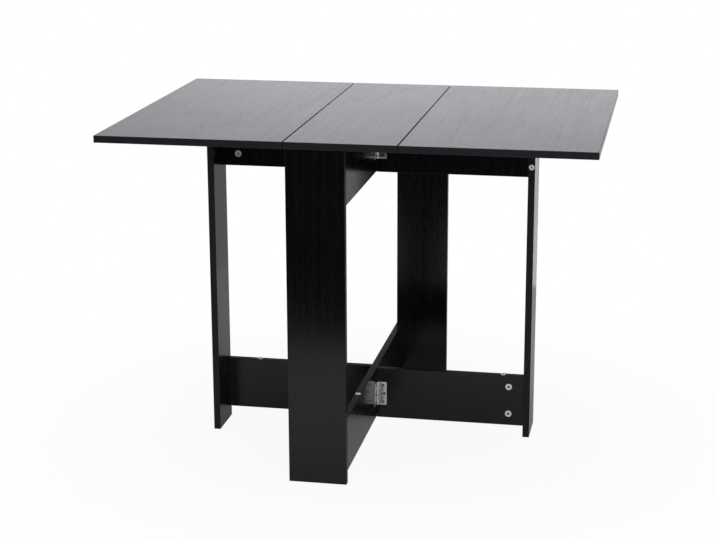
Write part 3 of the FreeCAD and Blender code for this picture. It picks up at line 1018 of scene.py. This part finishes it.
def hang(hinges, plates):
    """Builds the plates of some hinges and finishes their pins."""
    for hinge in hinges:
        for plate, knuckles in plates.items():
            build_plate(hinge, plate, *knuckles)
        dress_node(hinge + "_pin", "nickel_sheet")


class FOLDINGTABLE_OT_top_boards(Operator):
    """Lay the centre board and the two leaves"""

    bl_idname = "folding_table.top_boards"
    bl_label = "Lay the top"

    def execute(self, context):
        for node in TOP_BOARDS:
            build_board(node)
        return {"FINISHED"}


class FOLDINGTABLE_OT_frame_boards(Operator):
    """Build the centre frame: end legs, stretcher and upper rail"""

    bl_idname = "folding_table.frame_boards"
    bl_label = "Build the centre frame"

    def execute(self, context):
        for node in FRAME_BOARDS:
            build_board(node)
        return {"FINISHED"}


class FOLDINGTABLE_OT_gate_boards(Operator):
    """Build both gates: a leg and two rails each"""

    bl_idname = "folding_table.gate_boards"
    bl_label = "Build the gates"

    def execute(self, context):
        for node in GATE_BOARDS:
            build_board(node)
        return {"FINISHED"}


class FOLDINGTABLE_OT_gate_hinges(Operator):
    """Hang the gates on their butt hinges"""

    bl_idname = "folding_table.gate_hinges"
    bl_label = "Hang the gates"

    def execute(self, context):
        hang(GATE_HINGES, GATE_PLATES)
        return {"FINISHED"}


class FOLDINGTABLE_OT_leaf_hinges(Operator):
    """Hang the leaves on their butt hinges"""

    bl_idname = "folding_table.leaf_hinges"
    bl_label = "Hang the leaves"

    def execute(self, context):
        hang(LEAF_HINGES, LEAF_PLATES)
        return {"FINISHED"}


class FOLDINGTABLE_OT_hinge_screws(Operator):
    """Drive the screws of every hinge plate"""

    bl_idname = "folding_table.hinge_screws"
    bl_label = "Drive the hinge screws"

    def execute(self, context):
        tree = screw_tree(settings().fittings, settings().hinges.sheet)
        for node in HINGE_SCREWS:
            fit_on_seats(node, headed_seats(node), tree, "driven", "browned_steel")
        return {"FINISHED"}


class FOLDINGTABLE_OT_cam_locks(Operator):
    """Set the cam locks in their pockets"""

    bl_idname = "folding_table.cam_locks"
    bl_label = "Set the cam locks"

    def execute(self, context):
        tree = cam_tree(settings().fittings)
        for node in CAM_LOCKS:
            seats = [seat[:2] for seat in cam_seats(node)]
            fit_on_seats(node, seats, tree, "cast", "cast_zinc")
        return {"FINISHED"}


class FOLDINGTABLE_OT_edge_plugs(Operator):
    """Press the plugs into the board edges"""

    bl_idname = "folding_table.edge_plugs"
    bl_label = "Press in the edge plugs"

    def execute(self, context):
        tree = plug_tree(settings().fittings)
        for node in EDGE_PLUGS:
            fit_on_seats(node, headed_seats(node), tree, "moulded", "moulded_plug")
        return {"FINISHED"}


class FOLDINGTABLE_OT_hidden_fittings(Operator):
    """Finish the bolts and dowels inside the boards"""

    bl_idname = "folding_table.hidden_fittings"
    bl_label = "Finish bolts and dowels"

    def execute(self, context):
        for node in CAM_BOLTS:
            dress_node(node, "cast_zinc")
        dress_node("frame_dowels", "raw_beech")
        return {"FINISHED"}


# Floor: its reach from the table's middle, its drop below the feet, and its mottle
FLOOR_HALF_WIDTH, FLOOR_FRONT, FLOOR_BACK = 1.9, -1.33, 1.25
FLOOR_DROP = 0.2 * MM
FLOOR_MOTTLE_SCALE, FLOOR_MOTTLE_SHADE, FLOOR_ROUGHNESS = (3, 3, 3), 0.97, 0.9

# The share of white that the camera sees on it, from near the table outwards, and that gloss sees
FADE = (0.3, 1.1, 0.93, 1.0)
MIRRORED_SHARE = 0.1

# Surroundings by direction: where each change begins and ends, and the levels there
HORIZON = (-0.03, 0.06)
FRONT_TO_BACK = (-0.35, 0.45)
BACKDROP_RISE = (0.1, 0.32, 1.15, 0.14)
BACKDROP_SIDE = (-0.42, -0.22, 0.6, 1.0)
SWEEP_SIDE = (0.1, 0.26)
WHITE = (1.0, 1.0, 1.0, 1.0)
COOL_WHITE = (0.955, 0.96, 1.0, 1.0)

# Soft boxes: place and size, and the point that both are aimed at
TOP_BOX = (Vector((-0.3, 0.2, 2.9)), 2.2)
FRONT_BOX = (Vector((1.2, -3.5, 1.5)), 2.0)
LIGHT_AIM = Vector((0, 0, 0.4))


def ray_kinds(tree):
    """Whether a ray comes from the camera, and whether it was mirrored or let through."""
    path = lay(tree, "ShaderNodeLightPath")
    mirrored = maths(tree, "MAXIMUM", path["Is Glossy Ray"], path["Is Transmission Ray"])
    return path["Is Camera Ray"], mirrored


def lay_floor(stage):
    """Pale floor that fades to the white of the backdrop away from the table."""
    bm = bmesh.new()
    corners = [
        (-FLOOR_HALF_WIDTH, FLOOR_FRONT), (FLOOR_HALF_WIDTH, FLOOR_FRONT),
        (FLOOR_HALF_WIDTH, FLOOR_BACK), (-FLOOR_HALF_WIDTH, FLOOR_BACK)]
    bm.faces.new([bm.verts.new((x, y, -FLOOR_DROP)) for x, y in corners])
    mesh = mesh_from(bm, "studio_floor")
    finish, tree, shader = new_finish("studio_floor")
    place = lay(tree, "ShaderNodeTexCoord")["Object"]
    mottle = noise(tree, place, FLOOR_MOTTLE_SCALE, SOFT_OCTAVES)
    tone = mixed(tree, mottle, opaque(stage.floor_colour),
                 opaque(stage.floor_colour, FLOOR_MOTTLE_SHADE))
    feed(tree, shader, {"Base Color": tone, "Roughness": FLOOR_ROUGHNESS})
    reach = lay(tree, "ShaderNodeVectorMath", {0: place}, operation="LENGTH")["Value"]
    direct, mirrored = ray_kinds(tree)
    seen = added(tree, direct, mirrored, MIRRORED_SHARE)
    white = lay(tree, "ShaderNodeEmission", {"Color": WHITE, "Strength": 1.0})
    shown = lay(tree, "ShaderNodeMixShader", {
        0: scaled(tree, seen, ranged(tree, reach, *FADE)),
        1: shader.outputs[0], 2: white[0]})
    feed(tree, tree.nodes["Material Output"], {"Surface": shown[0]})
    mesh.materials.append(finish)
    link("studio_floor", mesh)


def light_studio(stage):
    """White surroundings behind the table, a dim room in front, and two soft boxes."""
    world = bpy.data.worlds.new("studio")
    world.use_nodes = True
    tree = world.node_tree
    way = lay(tree, "ShaderNodeTexCoord")["Generated"]
    parts = lay(tree, "ShaderNodeSeparateXYZ", {0: way})
    lifted = ranged(tree, parts["Z"], *BACKDROP_RISE)
    aside = ranged(tree, parts["X"], *BACKDROP_SIDE)
    backdrop = scaled(tree, scaled(tree, lifted, aside), stage.back_level)
    behind = ranged(tree, parts["Y"], *FRONT_TO_BACK)
    upper = between(tree, behind, stage.front_level, backdrop)
    beside = ranged(tree, parts["X"], *SWEEP_SIDE)
    ground = between(tree, beside, stage.sweep_level, stage.ground_level)
    lower = between(tree, behind, stage.shade_level, ground)
    level = between(tree, ranged(tree, parts["Z"], *HORIZON), lower, upper)
    direct, mirrored = ray_kinds(tree)
    soft = between(tree, mirrored, stage.fill_level, level)
    feed(tree, tree.nodes["Background"], {
        "Color": mixed(tree, direct, COOL_WHITE, WHITE),
        "Strength": maths(tree, "MAXIMUM", soft, direct)})
    bpy.context.scene.world = world
    hang_soft_box("top_soft_box", *TOP_BOX, stage.key_power)
    front = hang_soft_box("front_soft_box", *FRONT_BOX, stage.front_power)
    front.visible_glossy = False


def hang_soft_box(name, place, size, power):
    """Square soft box aimed at the table."""
    lamp = bpy.data.lights.new(name, "AREA")
    lamp.size = size
    lamp.energy = power
    box = link(name, lamp)
    box.location = place
    box.rotation_euler = (LIGHT_AIM - place).to_track_quat("-Z", "Y").to_euler()
    return box


def set_camera(stage):
    """Camera at the photographed angle."""
    lens = bpy.data.cameras.new("photo_angle")
    lens.lens = stage.lens
    camera = link("photo_angle", lens)
    tilt, roll, turn = stage.camera_turn
    aim = (Matrix.Rotation(turn, 4, "Z") @ Matrix.Rotation(math.pi / 2 - tilt, 4, "X")
           @ Matrix.Rotation(-roll, 4, "Z"))
    camera.matrix_world = Matrix.Translation(stage.camera_place) @ aim
    bpy.context.scene.camera = camera


class FOLDINGTABLE_OT_studio(Operator):
    """Set up the floor, the light and the camera"""

    bl_idname = "folding_table.studio"
    bl_label = "Set up the studio"

    def execute(self, context):
        stage = settings().stage
        context.scene.view_settings.view_transform = "Standard"
        lay_floor(stage)
        light_studio(stage)
        set_camera(stage)
        return {"FINISHED"}


STEPS = (
    FOLDINGTABLE_OT_top_boards,
    FOLDINGTABLE_OT_frame_boards,
    FOLDINGTABLE_OT_gate_boards,
    FOLDINGTABLE_OT_gate_hinges,
    FOLDINGTABLE_OT_leaf_hinges,
    FOLDINGTABLE_OT_hinge_screws,
    FOLDINGTABLE_OT_cam_locks,
    FOLDINGTABLE_OT_edge_plugs,
    FOLDINGTABLE_OT_hidden_fittings,
    FOLDINGTABLE_OT_studio,
)


class FOLDINGTABLE_PT_steps(Panel):
    """Sizes, colours and building steps of the table"""

    bl_idname = "FOLDINGTABLE_PT_steps"
    bl_label = "Folding table"
    bl_space_type = "VIEW_3D"
    bl_region_type = "UI"
    bl_category = "Folding table"

    def draw(self, context):
        for name in TableSettings.__annotations__:
            group = getattr(settings(), name)
            column = self.layout.column(align=True)
            column.label(text=name.capitalize())
            for key in group.__annotations__:
                column.prop(group, key)
        for step in STEPS:
            self.layout.operator(step.bl_idname)


CLASSES = (BoardSettings, HingeSettings, FittingSettings, StageSettings, TableSettings,
           *STEPS, FOLDINGTABLE_PT_steps)


def register():
    for cls in CLASSES:
        bpy.utils.register_class(cls)
    bpy.types.Scene.folding_table = PointerProperty(type=TableSettings)


def unregister():
    del bpy.types.Scene.folding_table
    for cls in reversed(CLASSES):
        bpy.utils.unregister_class(cls)


def main():
    register()
    bpy.ops.folding_table.top_boards()
    bpy.ops.folding_table.frame_boards()
    bpy.ops.folding_table.gate_boards()
    bpy.ops.folding_table.gate_hinges()
    bpy.ops.folding_table.leaf_hinges()
    bpy.ops.folding_table.hinge_screws()
    bpy.ops.folding_table.cam_locks()
    bpy.ops.folding_table.edge_plugs()
    bpy.ops.folding_table.hidden_fittings()
    bpy.ops.folding_table.studio()


if __name__ == "__main__":
    main()
